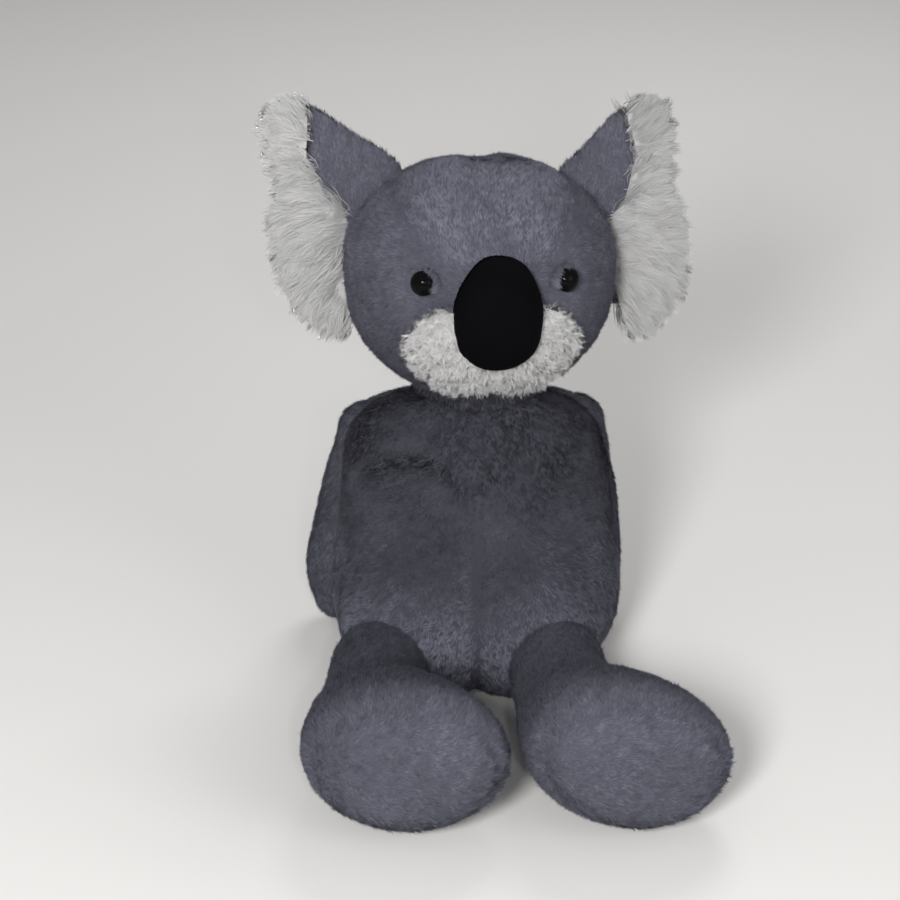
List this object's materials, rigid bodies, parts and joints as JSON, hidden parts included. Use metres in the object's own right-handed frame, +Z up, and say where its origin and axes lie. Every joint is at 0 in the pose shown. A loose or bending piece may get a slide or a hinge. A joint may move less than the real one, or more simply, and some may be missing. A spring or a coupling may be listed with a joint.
{
  "type": "plush koala",
  "caption": "Sitting plush koala with a round head, a large oval nose, long-haired ears and floppy limbs.",
  "frame": {"origin": "middle of the bounding box, on the floor under the toy", "axes": "+Z up, the face looks along -Y, +X is the toy's own left"},
  "size_m": [0.1716, 0.2356, 0.2168],
  "materials": {
    "grey_plush": "short soft pile",
    "white_plush": "long soft pile",
    "nose_velour": "matte velour",
    "eye_gloss": "high gloss",
    "fibre_stuffing": "loose fibre",
    "pouch_cloth": "thin woven cloth",
    "washer_nylon": "moulded",
    "grey_thread": "twisted thread"
  },
  "bodies": {
    "torso": {"torso_skin": "grey_plush", "torso_stuffing": "fibre_stuffing", "pellet_pouch": "pouch_cloth"},
    "neck": {"neck_stuffing": "fibre_stuffing", "neck_thread": "grey_thread"},
    "head": {"head_skin": "grey_plush", "head_stuffing": "fibre_stuffing", "nose_cover": "nose_velour", "nose_stuffing": "fibre_stuffing", "muzzle_patch": "white_plush", "right_eye": "eye_gloss", "left_eye": "eye_gloss", "right_eye_washer": "washer_nylon", "left_eye_washer": "washer_nylon"},
    "right_ear": {"right_ear_back": "grey_plush", "right_ear_fur": "white_plush"},
    "right_arm": {"right_arm_skin": "grey_plush", "right_arm_stuffing": "fibre_stuffing"},
    "right_leg": {"right_leg_skin": "grey_plush", "right_leg_stuffing": "fibre_stuffing", "right_sole": "grey_plush"},
    "left_ear": {"left_ear_back": "grey_plush", "left_ear_fur": "white_plush"},
    "left_arm": {"left_arm_skin": "grey_plush", "left_arm_stuffing": "fibre_stuffing"},
    "left_leg": {"left_leg_skin": "grey_plush", "left_leg_stuffing": "fibre_stuffing", "left_sole": "grey_plush"}
  },
  "joints": [
    {"name": "neck_turn", "type": "hinge", "parent": "torso", "child": "neck", "pos_m": [-0.00147, 0.05879, 0.101], "axis": [0, 0.2419, 0.9703], "range_deg": [-35, 35]},
    {"name": "head_nod", "type": "hinge", "parent": "neck", "child": "head", "pos_m": [-0.00147, 0.05879, 0.101], "axis": [1, 0, 0], "range_deg": [-8, 14]},
    {"name": "right_shoulder", "type": "hinge", "parent": "torso", "child": "right_arm", "pos_m": [-0.04647, 0.07231, 0.079], "axis": [0, 1, 0], "range_deg": [0, 95]},
    {"name": "left_shoulder", "type": "hinge", "parent": "torso", "child": "left_arm", "pos_m": [0.03753, 0.08031, 0.079], "axis": [0, -1, 0], "range_deg": [0, 95]},
    {"name": "right_hip", "type": "hinge", "parent": "torso", "child": "right_leg", "pos_m": [-0.03947, -0.01339, 0.0195], "axis": [-1, 0, 0], "range_deg": [-50, 30]},
    {"name": "left_hip", "type": "hinge", "parent": "torso", "child": "left_leg", "pos_m": [0.02703, -0.01339, 0.0195], "axis": [-1, 0, 0], "range_deg": [-50, 30]},
    {"name": "right_ear_flex", "type": "hinge", "parent": "head", "child": "right_ear", "pos_m": [-0.04842, 0.0755, 0.15791], "axis": [0.4341, 0.2009, 0.8782], "range_deg": [-20, 20]},
    {"name": "left_ear_flex", "type": "hinge", "parent": "head", "child": "left_ear", "pos_m": [0.04665, 0.08776, 0.14989], "axis": [0.596, -0.0422, -0.8019], "range_deg": [-20, 20]}
  ]
}
